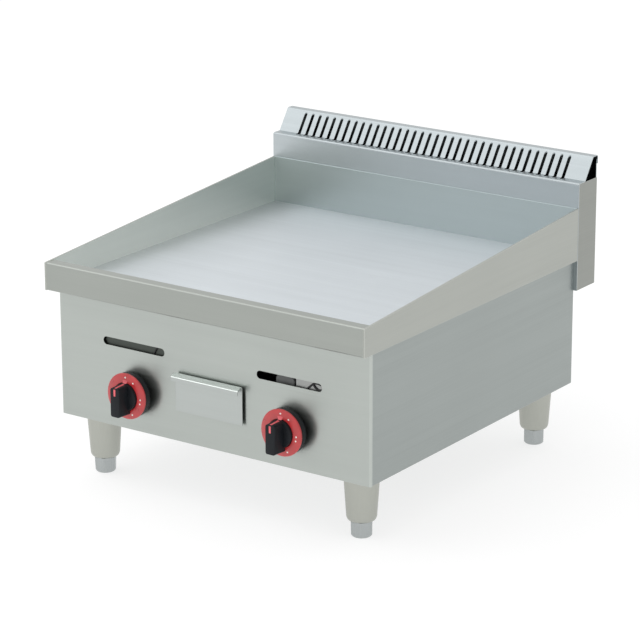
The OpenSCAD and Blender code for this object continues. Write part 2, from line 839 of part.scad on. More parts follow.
// ---- Feet ----
module foot_sleeve(x, y) {
    outline = concat(
        [[0, sleeve_low_z]],
        [for (a = [0 : 15 : 90]) [
            sleeve_rim_r + (sleeve_low_r - sleeve_rim_r) * sin(a),
            sleeve_low_z + sleeve_round_h * (1 - cos(a))
        ]],
        [[sleeve_top_r, pan_z], [0, pan_z]]
    );
    color(steel) difference() {
        translate([x, y, 0]) rotate_extrude() polygon(outline);
        rod_z(x, y, stud_r + fit_gap, sleeve_low_z - EPS, sleeve_low_z + insert_h + EPS);
        rod_z(x, y, sleeve_low_r - sleeve_t, sleeve_low_z + insert_h, pan_z - sleeve_top_t);
        rod_z(x, y, bolt_r + hole_gap, pan_z - sleeve_top_t - EPS, pan_z + EPS);
    }
}

module foot_stud(x, y) {
    color(dull_steel) rod_z(x, y, stud_r, stud_low_z, stud_top_z);
}

module foot(x, y) {
    low_r = hex_r * cos(30) + 0.7;
    outline = concat(
        [[0, 0]],
        [for (a = [0 : 15 : 90]) [
            low_r - hex_round * (1 - sin(a)),
            hex_round * (1 - cos(a))
        ]],
        [[hex_r, hex_h], [0, hex_h]]
    );
    color(dull_steel) translate([x, y, 0]) difference() {
        intersection() {
            cylinder(r = hex_r, h = hex_h, $fn = 6);
            rotate_extrude() polygon(outline);
        }
        rod_z(0, 0, stud_r + fit_gap, stud_low_z, hex_h + EPS);
    }
}

module foot_bolts() {
    color(dull_steel) for (x = [-foot_x, foot_x]) {
        for (y = [front_foot_at, rear_foot_at]) {
            translate([x, y, floor_z]) cylinder(r = bolt_head_r, h = bolt_head_h, $fn = 6);
            rod_z(x, y, bolt_r, pan_z - 12, floor_z + EPS);
        }
    }
}

// ---- Screws ----
function flue_screws() = [
    for (x = [-flue_in_x + 24, 0, flue_in_x - 24])
        for (z = [flue_low_z + 20, shelf_z - 10])
            [x, z]
];
function rear_screws() = [
    for (x = [-body_in_x + 20, 0, body_in_x - 20])
        for (z = [floor_z + 14, flue_low_z - 14])
            [x, z]
];

module screw_y(x, z, face_y) {
    rod_y(x, z, screw_head_r, face_y, face_y + screw_head_h);
    rod_y(x, z, screw_r, face_y - screw_l, face_y + screw_head_h / 2);
}

module panel_screws() {
    color(dull_steel) {
        for (p = flue_screws()) {
            screw_y(p[0], p[1], flue_back_y);
        }
        for (p = rear_screws()) {
            screw_y(p[0], p[1], rear_y);
        }
    }
}

// ---- Knobs, stems and plugs ----
module knob(x) {
    grip_x = grip_w / 2;
    grip_low_z = knob_z - grip_down;
    grip_top_z = knob_z + grip_up;
    grip_back_y = ring_front_y - ring_clear;
    color(black) difference() {
        union() {
            rod_y(x, knob_z, dial_r - skirt_inset, ring_back_y, panel_y - knob_gap);
            rod_y(x, knob_z, hub_r, hub_front_y, ring_back_y + EPS);
            for (side = [-1, 1]) {
                for (z = [grip_low_z + grip_round, grip_top_z - grip_round]) {
                    rod_y(x + side * (grip_x - grip_round), z, grip_round, grip_front_y, grip_back_y);
                }
            }
            block(
                [x - grip_x, grip_front_y, grip_low_z + grip_round],
                [x + grip_x, grip_back_y, grip_top_z - grip_round]
            );
            block(
                [x - grip_x + grip_round, grip_front_y, grip_low_z],
                [x + grip_x - grip_round, grip_back_y, grip_top_z]
            );
        }
        rod_y(x, knob_z, stem_r + hole_gap, stem_front_y - ring_clear, panel_y);
    }
}

module dial_ring(x) {
    color(red) difference() {
        rod_y(x, knob_z, dial_r, ring_front_y, ring_back_y);
        rod_y(x, knob_z, hub_r + hole_gap, ring_front_y - EPS, ring_back_y + EPS);
    }
}

module stem(x) {
    color(brass) rod_y(x, knob_z, stem_r, stem_front_y, stem_rear_y);
}

module tap_plug(x) {
    color(brass) difference() {
        rod_y(x, knob_z, plug_r, plug_front_y, plug_rear_y);
        rod_y(x, knob_z, stem_r + fit_gap, plug_front_y - EPS, stem_rear_y + push_room);
    }
}

griddle_plate();
front_apron();
side_splash(-1);  // left_splash
side_splash(1);  // right_splash
rear_splash();
flue_cover();
flue_side(-1);  // flue_left_side
flue_side(1);  // flue_right_side
flue_back();
flue_floor();
front_panel();
side_panel(-1);  // left_side_panel
side_panel(1);  // right_side_panel
rear_panel();
base_pan();
heat_shield();
heat_wall(-1);  // left_heat_wall
heat_wall(1);  // right_heat_wall
burner_rail();
burner(-knob_x);  // left_burner
burner(knob_x);  // right_burner
injector(-knob_x);  // left_injector
injector(knob_x);  // right_injector
supply_tubes();
tap_body(-knob_x);  // left_tap_body
tap_body(knob_x);  // right_tap_body
manifold_pipe();
inlet_elbow();
gas_inlet_pipe();
pilot(-1);  // left_pilot
pilot(1);  // right_pilot
pilot_bracket(-1, left_bracket);  // left_pilot_bracket
pilot_bracket(1, right_bracket);  // right_pilot_bracket
drain_chute();
drawer_guide(-1);  // left_drawer_guide
drawer_guide(1);  // right_drawer_guide
foot_sleeve(-foot_x, front_foot_at);  // front_left_sleeve
foot_sleeve(foot_x, front_foot_at);  // front_right_sleeve
foot_sleeve(-foot_x, rear_foot_at);  // rear_left_sleeve
foot_sleeve(foot_x, rear_foot_at);  // rear_right_sleeve
foot_bolts();
panel_screws();
drawer_box();
drawer_front();
tap_plug(-knob_x);  // left_tap_plug
tap_plug(knob_x);  // right_tap_plug
stem(-knob_x);  // left_stem
stem(knob_x);  // right_stem
knob(-knob_x);  // left_knob
knob(knob_x);  // right_knob
dial_ring(-knob_x);  // left_dial_ring
dial_ring(knob_x);  // right_dial_ring
foot_stud(-foot_x, front_foot_at);  // front_left_stud
foot_stud(foot_x, front_foot_at);  // front_right_stud
foot_stud(-foot_x, rear_foot_at);  // rear_left_stud
foot_stud(foot_x, rear_foot_at);  // rear_right_stud
foot(-foot_x, front_foot_at);  // front_left_foot
foot(foot_x, front_foot_at);  // front_right_foot
foot(-foot_x, rear_foot_at);  // rear_left_foot
foot(foot_x, rear_foot_at);  // rear_right_foot
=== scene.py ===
"""Looks of a counter-top flat top griddle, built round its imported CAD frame. Metres, Z up."""

import math

import bmesh
import bpy
from mathutils import Matrix, Vector


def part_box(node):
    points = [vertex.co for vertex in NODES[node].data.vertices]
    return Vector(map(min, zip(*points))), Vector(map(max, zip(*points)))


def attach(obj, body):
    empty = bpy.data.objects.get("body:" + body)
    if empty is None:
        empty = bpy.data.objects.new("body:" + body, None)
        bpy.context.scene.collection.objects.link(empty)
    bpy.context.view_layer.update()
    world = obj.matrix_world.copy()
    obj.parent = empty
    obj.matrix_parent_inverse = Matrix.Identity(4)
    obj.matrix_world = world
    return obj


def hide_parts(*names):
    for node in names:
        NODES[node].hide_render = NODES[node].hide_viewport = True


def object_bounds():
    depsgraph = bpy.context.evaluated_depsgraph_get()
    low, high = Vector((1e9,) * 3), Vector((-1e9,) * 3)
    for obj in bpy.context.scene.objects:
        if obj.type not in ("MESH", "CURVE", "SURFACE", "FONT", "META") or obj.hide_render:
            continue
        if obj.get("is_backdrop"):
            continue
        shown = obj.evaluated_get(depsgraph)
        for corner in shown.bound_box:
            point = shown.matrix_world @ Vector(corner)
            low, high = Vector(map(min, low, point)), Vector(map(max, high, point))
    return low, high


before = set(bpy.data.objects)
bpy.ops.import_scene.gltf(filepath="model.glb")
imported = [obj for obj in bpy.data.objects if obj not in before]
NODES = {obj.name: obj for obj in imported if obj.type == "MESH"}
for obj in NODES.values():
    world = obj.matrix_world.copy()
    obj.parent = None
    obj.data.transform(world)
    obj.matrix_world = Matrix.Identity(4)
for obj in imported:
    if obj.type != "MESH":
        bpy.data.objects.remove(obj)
CAD_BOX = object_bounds()
MM = 0.001


# ---------------------------------------------------------------- camera
CAMERA_PLACE = Vector((2.5726, -3.6669, 1.6468))
CAMERA_TURN = math.radians(35.085)
CAMERA_DIP = math.radians(17.544)
CAMERA_ROLL = math.radians(-0.15)
CAMERA_LENS = 166.2


def make_camera():
    data = bpy.data.cameras.new("camera")
    data.lens = CAMERA_LENS
    data.sensor_width = 36
    data.clip_end = 100
    camera = bpy.data.objects.new("camera", data)
    bpy.context.scene.collection.objects.link(camera)
    turn = Matrix.Rotation(CAMERA_TURN, 4, "Z")
    tilt = Matrix.Rotation(math.pi / 2 - CAMERA_DIP, 4, "X")
    roll = Matrix.Rotation(CAMERA_ROLL, 4, "Z")
    camera.matrix_world = Matrix.Translation(CAMERA_PLACE) @ turn @ tilt @ roll
    bpy.context.scene.camera = camera


# ---------------------------------------------------------------- node helpers
def start_material(name):
    material = bpy.data.materials.new(name)
    material.use_nodes = True
    tree = material.node_tree
    return material, tree, tree.nodes["Principled BSDF"]


def add(tree, kind, **values):
    node = tree.nodes.new(kind)
    for key, value in values.items():
        setattr(node, key, value)
    return node


def join(tree, start, out, end, into):
    tree.links.new(start.outputs[out], end.inputs[into])


def noise(tree, scale, detail=4.0, rough=0.5):
    """Noise on the object's own coordinates, stretched by scale, in waves per metre along X, Y and Z."""
    place = add(tree, "ShaderNodeTexCoord")
    mapping = add(tree, "ShaderNodeMapping")
    mapping.inputs["Scale"].default_value = scale
    texture = add(tree, "ShaderNodeTexNoise")
    texture.inputs["Scale"].default_value = 1.0
    texture.inputs["Detail"].default_value = detail
    texture.inputs["Roughness"].default_value = rough
    join(tree, place, "Object", mapping, "Vector")
    join(tree, mapping, "Vector", texture, "Vector")
    return texture


def ranged(tree, source, out, low, high):
    """Maps a noise's middle stretch onto low to high."""
    node = add(tree, "ShaderNodeMapRange")
    node.inputs["From Min"].default_value = 0.3
    node.inputs["From Max"].default_value = 0.7
    node.inputs["To Min"].default_value = low
    node.inputs["To Max"].default_value = high
    join(tree, source, out, node, "Value")
    return node


def tinted(tree, bsdf, factor, dark, light):
    """Base colour that drifts between two shades with a factor."""
    mix = add(tree, "ShaderNodeMix", data_type="RGBA")
    mix.inputs[6].default_value = (*dark, 1)
    mix.inputs[7].default_value = (*light, 1)
    join(tree, factor, "Result", mix, 0)
    tree.links.new(mix.outputs[2], bsdf.inputs["Base Color"])


def bumped(tree, bsdf, source, out, strength, height):
    bump = add(tree, "ShaderNodeBump")
    bump.inputs["Strength"].default_value = strength
    bump.inputs["Distance"].default_value = height
    join(tree, source, out, bump, "Height")
    join(tree, bump, "Normal", bsdf, "Normal")


GRAIN = {
    "X": (2.5, 700.0, 700.0),
    "Y": (700.0, 2.5, 700.0),
    "Z": (700.0, 700.0, 2.5),
}


def brushed_steel(name, colour, grain="X", roughness=0.36, spread=0.05, drift=0.03, depth=0.10,
                  stretched=True):
    """Sheet steel brushed along one axis: streaks in its gloss and height, clouds in its colour.

    A face attribute called tone scales the colour: painted highlights on the ground edges, the bends,
    the drawer pull's slope, the inner splash walls and the flue cover's front, and painted shade
    inside the flue and on the flue sides. Highlights are
    stretched across the grain only on a skin, which has the UV map for it.
    """
    material, tree, bsdf = start_material(name)
    bsdf.inputs["Metallic"].default_value = 1.0
    bsdf.inputs["Anisotropic"].default_value = 0.55 if stretched else 0.0
    streaks = noise(tree, GRAIN[grain], detail=3.0, rough=0.6)
    broad = noise(tree, [max(c / 12, 2.0) for c in GRAIN[grain]], detail=3.0, rough=0.55)
    clouds = noise(tree, (6.0, 6.0, 6.0), detail=3.0)
    gloss = ranged(tree, streaks, "Fac", roughness - spread, roughness + spread)
    join(tree, gloss, "Result", bsdf, "Roughness")
    both = add(tree, "ShaderNodeMath", operation="ADD")
    tree.links.new(broad.outputs["Fac"], both.inputs[0])
    tree.links.new(clouds.outputs["Fac"], both.inputs[1])
    half = add(tree, "ShaderNodeMath", operation="MULTIPLY")
    half.inputs[1].default_value = 0.5
    tree.links.new(both.outputs[0], half.inputs[0])
    shade = ranged(tree, half, "Value", 0.0, 1.0)
    mix = add(tree, "ShaderNodeMix", data_type="RGBA")
    mix.inputs[6].default_value = (*[c * (1 - drift) for c in colour], 1)
    mix.inputs[7].default_value = (*[min(1.0, c * (1 + drift)) for c in colour], 1)
    join(tree, shade, "Result", mix, 0)
    tone = add(tree, "ShaderNodeAttribute", attribute_name="tone")
    factor = add(tree, "ShaderNodeMath", operation="ADD")
    factor.inputs[1].default_value = 1.0
    tree.links.new(tone.outputs["Fac"], factor.inputs[0])
    scaled = add(tree, "ShaderNodeVectorMath", operation="SCALE")
    tree.links.new(mix.outputs[2], scaled.inputs[0])
    tree.links.new(factor.outputs[0], scaled.inputs["Scale"])
    tree.links.new(scaled.outputs[0], bsdf.inputs["Base Color"])
    bumped(tree, bsdf, streaks, "Fac", depth, 0.00002)
    if stretched:
        across = add(tree, "ShaderNodeTangent", direction_type="UV_MAP", uv_map="across_grain")
        join(tree, across, "Tangent", bsdf, "Tangent")
    return material


def moulded_plastic(name, colour, roughness, grain_height, grain=0.25, specular=0.5, coat=0.0):
    """Moulded plastic: a fine pebbled skin and a slightly uneven gloss."""
    material, tree, bsdf = start_material(name)
    bsdf.inputs["IOR"].default_value = 1.5
    bsdf.inputs["Specular IOR Level"].default_value = specular
    bsdf.inputs["Coat Weight"].default_value = coat
    bsdf.inputs["Coat Roughness"].default_value = 0.35
    pebbles = noise(tree, (1800.0, 1800.0, 1800.0), detail=2.0)
    clouds = noise(tree, (60.0, 60.0, 60.0), detail=3.0)
    gloss = ranged(tree, clouds, "Fac", roughness - 0.06, roughness + 0.08)
    join(tree, gloss, "Result", bsdf, "Roughness")
    shade = ranged(tree, clouds, "Fac", 0.0, 1.0)
    tinted(tree, bsdf, shade, [c * 0.85 for c in colour], [c * 1.15 for c in colour])
    bumped(tree, bsdf, pebbles, "Fac", grain, grain_height)
    return material


FRONT_STEEL = brushed_steel("front_brushed_steel", (0.45, 0.48, 0.455), "X", 0.34)
APRON_STEEL = brushed_steel("apron_brushed_steel", (0.37, 0.39, 0.365), "X", 0.36)
# painted shade: the side and rear panels are the front panel's steel made darker, for the shade on faces
# turned from the light
SHADED_SIDE_STEEL = brushed_steel("side_steel_painted_shade", (0.35, 0.38, 0.37), "Y", 0.40)
SPLASH_STEEL = brushed_steel("splash_brushed_steel", (0.42, 0.435, 0.405), "Y", 0.38)
REAR_STEEL = brushed_steel("back_brushed_steel", (0.48, 0.54, 0.545), "X", 0.36)
VENT_STEEL = brushed_steel("vent_brushed_steel", (0.43, 0.47, 0.485), "X", 0.36)
PLATE_STEEL = brushed_steel("ground_plate_steel", (0.62, 0.655, 0.68), "X", 0.50, 0.06, 0.04, 0.2)
PULL_STEEL = brushed_steel("drawer_brushed_steel", (0.47, 0.50, 0.485), "X", 0.34)
SLEEVE_STEEL = brushed_steel("sleeve_satin_steel", (0.43, 0.44, 0.40), "Z", 0.34)
FOOT_STEEL = brushed_steel("foot_plated_steel", (0.42, 0.445, 0.445), "Z", 0.30)
# very dark steel for the parts inside the body and the flue floor
DARK_INNER_STEEL = brushed_steel("dark_inner_steel", (0.14, 0.145, 0.14), "X", 0.50, 0.08, 0.15,
                           stretched=False)
# painted shade: the plate behind the left sight slot is painted near black, for the shade behind the panel
SHADED_SLOT_STEEL = brushed_steel("slot_plate_painted_shade", (0.085, 0.095, 0.086), "X", 0.45, 0.05, 0.1)
BRACKET_STEEL = brushed_steel("bracket_steel", (0.36, 0.37, 0.36), "X", 0.38)
PIPE_STEEL = brushed_steel("zinc_plated_steel", (0.42, 0.43, 0.44), "Y", 0.38, 0.08, 0.1,
                           stretched=False)
BRASS = brushed_steel("machined_brass", (0.62, 0.45, 0.20), "Y", 0.30, stretched=False)
INNER_STEEL = brushed_steel("inner_sheet_steel", (0.35, 0.38, 0.37), "Y", 0.40, stretched=False)
KNOB_BLACK = moulded_plastic("knob_black_plastic", (0.010, 0.012, 0.015), 0.42, 0.00002, specular=0.2)
DIAL_RED = moulded_plastic("dial_red_enamel", (0.50, 0.018, 0.022), 0.30, 0.000004, grain=0.1, coat=0.8)
MARK_WHITE = moulded_plastic("mark_white_ink", (0.85, 0.80, 0.76), 0.45, 0.000005)
POINTER_RED = moulded_plastic("pointer_red_ink", (0.78, 0.13, 0.15), 0.34, 0.000005)
HOOD_GREY = moulded_plastic("hood_grey_ceramic", (0.11, 0.115, 0.113), 0.5, 0.00002)
CLIP_BLACK = moulded_plastic("clip_black_coating", (0.006, 0.006, 0.007), 0.5, 0.00001)


# ---------------------------------------------------------------- mesh helpers
def make_object(name, mesh, material):
    obj = bpy.data.objects.new(name, mesh)
    bpy.context.scene.collection.objects.link(obj)
    mesh.materials.clear()
    mesh.materials.append(material)
    return obj


def finish_mesh(bm, name, smooth_angle=35):
    """Turns bmesh work into a mesh with smooth faces and sharp edges past an angle."""
    mesh = bpy.data.meshes.new(name)
    bm.to_mesh(mesh)
    bm.free()
    for face in mesh.polygons:
        face.use_smooth = True
    mesh.set_sharp_from_angle(angle=math.radians(smooth_angle))
    return mesh


def plain(obj):
    """Applies an object's modifiers and leaves a plain mesh."""
    graph = bpy.context.evaluated_depsgraph_get()
    mesh = bpy.data.meshes.new_from_object(
        obj.evaluated_get(graph), preserve_all_data_layers=True, depsgraph=graph
    )
    obj.modifiers.clear()
    old = obj.data
    obj.data = mesh
    if old.users == 0:
        bpy.data.meshes.remove(old)
    return obj


def lay_grain(bm, upright):
    """Lays a UV map whose U runs across the grain, for the stretch of the highlights."""
    layer = bm.loops.layers.uv.new("across_grain")
    for face in bm.faces:
        lean = [abs(c) for c in face.normal]
        for loop in face.loops:
            x, y, z = loop.vert.co
            if upright:
                pair = (x + y, z)
            elif lean[2] >= max(lean[0], lean[1]):
                pair = (y, x)
            elif lean[0] > lean[1]:
                pair = (z, y)
            else:
                pair = (z, x)
            loop[layer].uv = pair


def dressed(node, material, body, edge, sharp=30, edge_highlight=0.3, tone=None, upright=False):
    """Stands a skin for a CAD node: its own shape, with the sharp edges ground over and given a painted
    highlight.
    """
    bm = bmesh.new()
    bm.from_mesh(NODES[node].data)
    bmesh.ops.remove_doubles(bm, verts=bm.verts, dist=1e-6)
    bmesh.ops.dissolve_limit(
        bm, angle_limit=math.radians(0.3), verts=bm.verts[:], edges=bm.edges[:]
    )
    layer = bm.faces.layers.float.new("tone")
    for face in bm.faces:
        face[layer] = tone(face) if tone else 0.0
    edges = [
        e
        for e in bm.edges
        if len(e.link_faces) == 2 and e.calc_face_angle() > math.radians(sharp)
    ]
    made = bmesh.ops.bevel(
        bm,
        geom=edges,
        offset=edge,
        offset_type="OFFSET",
        segments=2,
        profile=0.5,
        affect="EDGES",
        clamp_overlap=True,
    )
    layer = bm.faces.layers.float["tone"]
    # painted highlight: the faces made by the bevel are brightened
    for face in made["faces"]:
        face[layer] = edge_highlight
    lay_grain(bm, upright)
    obj = make_object(node + "_skin", finish_mesh(bm, node + "_skin", 50), material)
    weigh = obj.modifiers.new("weigh", "WEIGHTED_NORMAL")
    weigh.keep_sharp = True
    weigh.weight = 100
    plain(obj)
    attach(obj, body)
    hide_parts(node)
    return obj


def finish_node(node, material):
    """Gives a CAD node that stays in view its finish."""
    data = NODES[node].data
    data.materials.clear()
    data.materials.append(material)


def inner_splash_light(side):
    """Painted light: the inside of a side splash, lit directly, is painted much brighter than its outside.
    """
    return lambda face: 1.15 if face.normal.x * side < -0.9 else 0.0


SHEET_EDGE = 0.0004  # how far each kind of edge is ground over
THIN_EDGE = 0.0003
THICK_EDGE = 0.0006
HEXAGON_EDGE = 0.0008
FLUE_SHADE = -0.85  # painted shade: tone of a face that looks into the flue, darkened for the shade inside it
# painted shade: the flue sides' outer faces are the splash steel made darker
FLUE_SIDE_SHADE = -0.25


def cover_tone():
    """Painted shade on the cover's inside and underside, and a painted highlight that makes its tall front
    a little brighter than its slope.
    """
    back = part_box("flue_cover")[1].y

    def tone(face):
        inside = face.normal.y > 0.3 and face.calc_center_median().y < back - 5 * MM
        if inside or face.normal.z < -0.95:
            return FLUE_SHADE
        return 0.12 if face.normal.y < -0.95 else 0.0

    return tone


def flue_shaded(axis, sign, outside=0.0):
    """Painted shade on the faces of a flue sheet that look into the flue, and a tone for the rest."""
    return lambda face: FLUE_SHADE if face.normal[axis] * sign > 0.95 else outside


def bend_tone(face):
    """The bends at the body's corners get a painted highlight."""
    return 0.12 if 0.1 < abs(face.normal.x) < 0.99 and face.normal.y < -0.1 else 0.0


def pull_tone(face):
    """The drawer pull's upward slope gets painted light, brighter than the drawer's front."""
    return 0.7 if face.normal.z > 0.5 else 0.0


def skin_sheets():
    for node, material in (
        ("front_apron", APRON_STEEL),
        ("rear_splash", REAR_STEEL),
        ("left_side_panel", SHADED_SIDE_STEEL),
        ("right_side_panel", SHADED_SIDE_STEEL),
        ("rear_panel", SHADED_SIDE_STEEL),
    ):
        dressed(node, material, "root", SHEET_EDGE)
    sides = ((-1, "left"), (1, "right"))
    for side, word in sides:
        dressed(word + "_splash", SPLASH_STEEL, "root", THICK_EDGE, tone=inner_splash_light(side))
    for side, word in sides:
        dressed("flue_" + word + "_side", SPLASH_STEEL, "root", SHEET_EDGE,
                tone=flue_shaded(0, -side, FLUE_SIDE_SHADE))
    dressed("flue_back", REAR_STEEL, "root", SHEET_EDGE, tone=flue_shaded(1, -1))
    dressed("front_panel", FRONT_STEEL, "root", SHEET_EDGE, tone=bend_tone)
    dressed("flue_cover", VENT_STEEL, "root", SHEET_EDGE, tone=cover_tone())
    dressed("griddle_plate", PLATE_STEEL, "root", THICK_EDGE)
    dressed("drawer_front", PULL_STEEL, "drawer", SHEET_EDGE, edge_highlight=0.0, tone=pull_tone)
    dressed("drawer_box", PULL_STEEL, "drawer", THIN_EDGE)
    dressed("left_pilot_bracket", SHADED_SLOT_STEEL, "root", THIN_EDGE)
    dressed("right_pilot_bracket", BRACKET_STEEL, "root", THIN_EDGE)


def skin_feet():
    for place in ("front_left", "front_right", "rear_left", "rear_right"):
        dressed(place + "_sleeve", SLEEVE_STEEL, "root", THICK_EDGE, 50, upright=True)
        dressed(place + "_foot", FOOT_STEEL, place + "_foot", HEXAGON_EDGE, 40, upright=True)
        finish_node(place + "_stud", PIPE_STEEL)


def finish_inner_nodes():
    for material, nodes in (
        (DARK_INNER_STEEL, ("heat_shield", "left_heat_wall", "right_heat_wall", "burner_rail",
                      "left_burner", "right_burner", "left_pilot", "right_pilot", "flue_floor")),
        (INNER_STEEL, ("base_pan", "drain_chute", "left_drawer_guide",
                      "right_drawer_guide")),
        (PIPE_STEEL, ("manifold_pipe", "inlet_elbow", "gas_inlet_pipe", "foot_bolts")),
        (BRASS, ("left_injector", "right_injector", "supply_tubes", "left_tap_body",
                 "right_tap_body", "left_tap_plug", "right_tap_plug", "left_stem",
                 "right_stem")),
    ):
        for node in nodes:
            finish_node(node, material)


# ---------------------------------------------------------------- geometry nodes
def start_tree(name, sizes):
    """Geometry tree with a named length input for each size."""
    tree = bpy.data.node_groups.new(name, "GeometryNodeTree")
    tree.interface.new_socket("Geometry", in_out="INPUT", socket_type="NodeSocketGeometry")
    for label, value in sizes.items():
        socket = tree.interface.new_socket(label, in_out="INPUT", socket_type="NodeSocketFloat")
        socket.default_value = value
    tree.interface.new_socket("Geometry", in_out="OUTPUT", socket_type="NodeSocketGeometry")
    return tree, tree.nodes.new("NodeGroupInput"), tree.nodes.new("NodeGroupOutput")


def ended(tree, last, out, into, material):
    """Ends a geometry tree with real meshes in their material."""
    realize = tree.nodes.new("GeometryNodeRealizeInstances")
    dress = tree.nodes.new("GeometryNodeSetMaterial")
    dress.inputs["Material"].default_value = material
    tree.links.new(last.outputs[out], realize.inputs[0])
    tree.links.new(realize.outputs[0], dress.inputs["Geometry"])
    tree.links.new(dress.outputs[0], into.inputs[0])


def grown(name, points, tree, sizes, material):
    """Runs a geometry tree on a cloud of points and keeps the result as a plain mesh."""
    mesh = bpy.data.meshes.new(name)
    mesh.from_pydata(points, [], [])
    obj = make_object(name, mesh, material)
    modifier = obj.modifiers.new("grow", "NODES")
    modifier.node_group = tree
    for item in tree.interface.items_tree:
        if item.in_out == "INPUT" and item.name in sizes:
            modifier[item.identifier] = float(sizes[item.name])
    plain(obj)
    mesh = obj.data
    mesh.materials.clear()
    mesh.materials.append(material)
    for face in mesh.polygons:
        face.use_smooth = True
    mesh.set_sharp_from_angle(angle=math.radians(40))
    return obj


def filled(tree, node, values):
    """Gives a node's inputs their values, each a socket or a number, and hands back its output."""
    for socket, value in zip(node.inputs, values):
        if isinstance(value, (int, float)):
            socket.default_value = value
        else:
            tree.links.new(value, socket)
    return node.outputs[0]


def product(tree, first, second):
    return filled(tree, add(tree, "ShaderNodeMath", operation="MULTIPLY"), (first, second))


def vector_of(tree, x, y, z):
    return filled(tree, tree.nodes.new("ShaderNodeCombineXYZ"), (x, y, z))


def dot_tree(name, sizes, material):
    """Low printed dots that face the user: one on each point."""
    tree, start, end = start_tree(name, sizes)
    dome = tree.nodes.new("GeometryNodeMeshUVSphere")
    dome.inputs["Segments"].default_value = 20
    dome.inputs["Rings"].default_value = 8
    dome.inputs["Radius"].default_value = 1.0
    place = tree.nodes.new("GeometryNodeInstanceOnPoints")
    tree.links.new(start.outputs["Geometry"], place.inputs["Points"])
    tree.links.new(dome.outputs["Mesh"], place.inputs["Instance"])
    radius = start.outputs["Dot radius"]
    tree.links.new(vector_of(tree, radius, start.outputs["Dot rise"], radius), place.inputs["Scale"])
    ended(tree, place, "Instances", end, material)
    return tree


def screw_tree(name, sizes, material):
    """Pan-head screws with a cross recess, their heads towards +Y: one on each point."""
    tree, start, end = start_tree(name, sizes)
    radius, rise = start.outputs["Head radius"], start.outputs["Head rise"]
    dome = tree.nodes.new("GeometryNodeMeshUVSphere")
    dome.inputs["Segments"].default_value = 32
    dome.inputs["Rings"].default_value = 16
    dome.inputs["Radius"].default_value = 1.0
    flat = tree.nodes.new("GeometryNodeTransform")
    tree.links.new(dome.outputs["Mesh"], flat.inputs["Geometry"])
    tree.links.new(vector_of(tree, radius, rise, radius), flat.inputs["Scale"])
    cut = tree.nodes.new("GeometryNodeMeshBoolean")
    cut.operation = "DIFFERENCE"
    tree.links.new(flat.outputs["Geometry"], cut.inputs[0])
    arm = product(tree, radius, 0.95)
    web = product(tree, radius, 0.2)
    deep = product(tree, rise, 1.6)
    for width, height in ((arm, web), (web, arm)):
        bar = tree.nodes.new("GeometryNodeMeshCube")
        tree.links.new(vector_of(tree, width, deep, height), bar.inputs["Size"])
        shift = tree.nodes.new("GeometryNodeTransform")
        tree.links.new(bar.outputs["Mesh"], shift.inputs["Geometry"])
        tree.links.new(vector_of(tree, 0.0, product(tree, rise, 1.25), 0.0), shift.inputs["Translation"])
        tree.links.new(shift.outputs["Geometry"], cut.inputs[1])
    place = tree.nodes.new("GeometryNodeInstanceOnPoints")
    tree.links.new(start.outputs["Geometry"], place.inputs["Points"])
    tree.links.new(cut.outputs[0], place.inputs["Instance"])
    ended(tree, place, "Instances", end, material)
    return tree


SCREW_SIZES = {"Head radius": 4 * MM, "Head rise": 1.1 * MM}


def screw_places():
    """Middle of each screw head's back, found from the CAD screws."""
    bm = bmesh.new()
    bm.from_mesh(NODES["panel_screws"].data)
    bmesh.ops.remove_doubles(bm, verts=bm.verts, dist=1e-6)
    left = set(bm.verts)
    places = []
    while left:
        screw, edge = set(), [left.pop()]
        while edge:
            vert = edge.pop()
            screw.add(vert)
            for link in vert.link_edges:
                other = link.other_vert(vert)
                if other in left:
                    left.discard(other)
                    edge.append(other)
        lows = [min(v.co[i] for v in screw) for i in range(3)]
        highs = [max(v.co[i] for v in screw) for i in range(3)]
        rise = SCREW_SIZES["Head rise"]
        places.append(((lows[0] + highs[0]) / 2, highs[1] - rise, (lows[2] + highs[2]) / 2))
    bm.free()
    return sorted(places)


def make_screws():
    tree = screw_tree("pan_head_screws", SCREW_SIZES, PIPE_STEEL)
    screws = grown("panel_screw_heads", screw_places(), tree, SCREW_SIZES, PIPE_STEEL)
    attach(screws, "root")
    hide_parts("panel_screws")


# ---------------------------------------------------------------- knobs
def lathe(name, outline, centre, steps=96, smooth_angle=30):
    """Turns an outline of (radius, distance towards the user) pairs about a knob's axis."""
    bm = bmesh.new()
    rings = []
    for radius, out in outline:
        if radius < 1e-9:
            rings.append([bm.verts.new(centre + Vector((0, -out, 0)))])
            continue
        rings.append([
            bm.verts.new(centre + Vector((
                radius * math.sin(2 * math.pi * i / steps),
                -out,
                radius * math.cos(2 * math.pi * i / steps),
            )))
            for i in range(steps)
        ])
    for near, far in zip(rings, rings[1:]):
        for i in range(steps):
            j = (i + 1) % steps
            corners = [near[i % len(near)], near[j % len(near)],
                       far[j % len(far)], far[i % len(far)]]
            kept = []
            for corner in corners:
                if corner not in kept:
                    kept.append(corner)
            if len(kept) > 2:
                bm.faces.new(kept)
    bmesh.ops.recalc_face_normals(bm, faces=bm.faces)
    return finish_mesh(bm, name, smooth_angle)


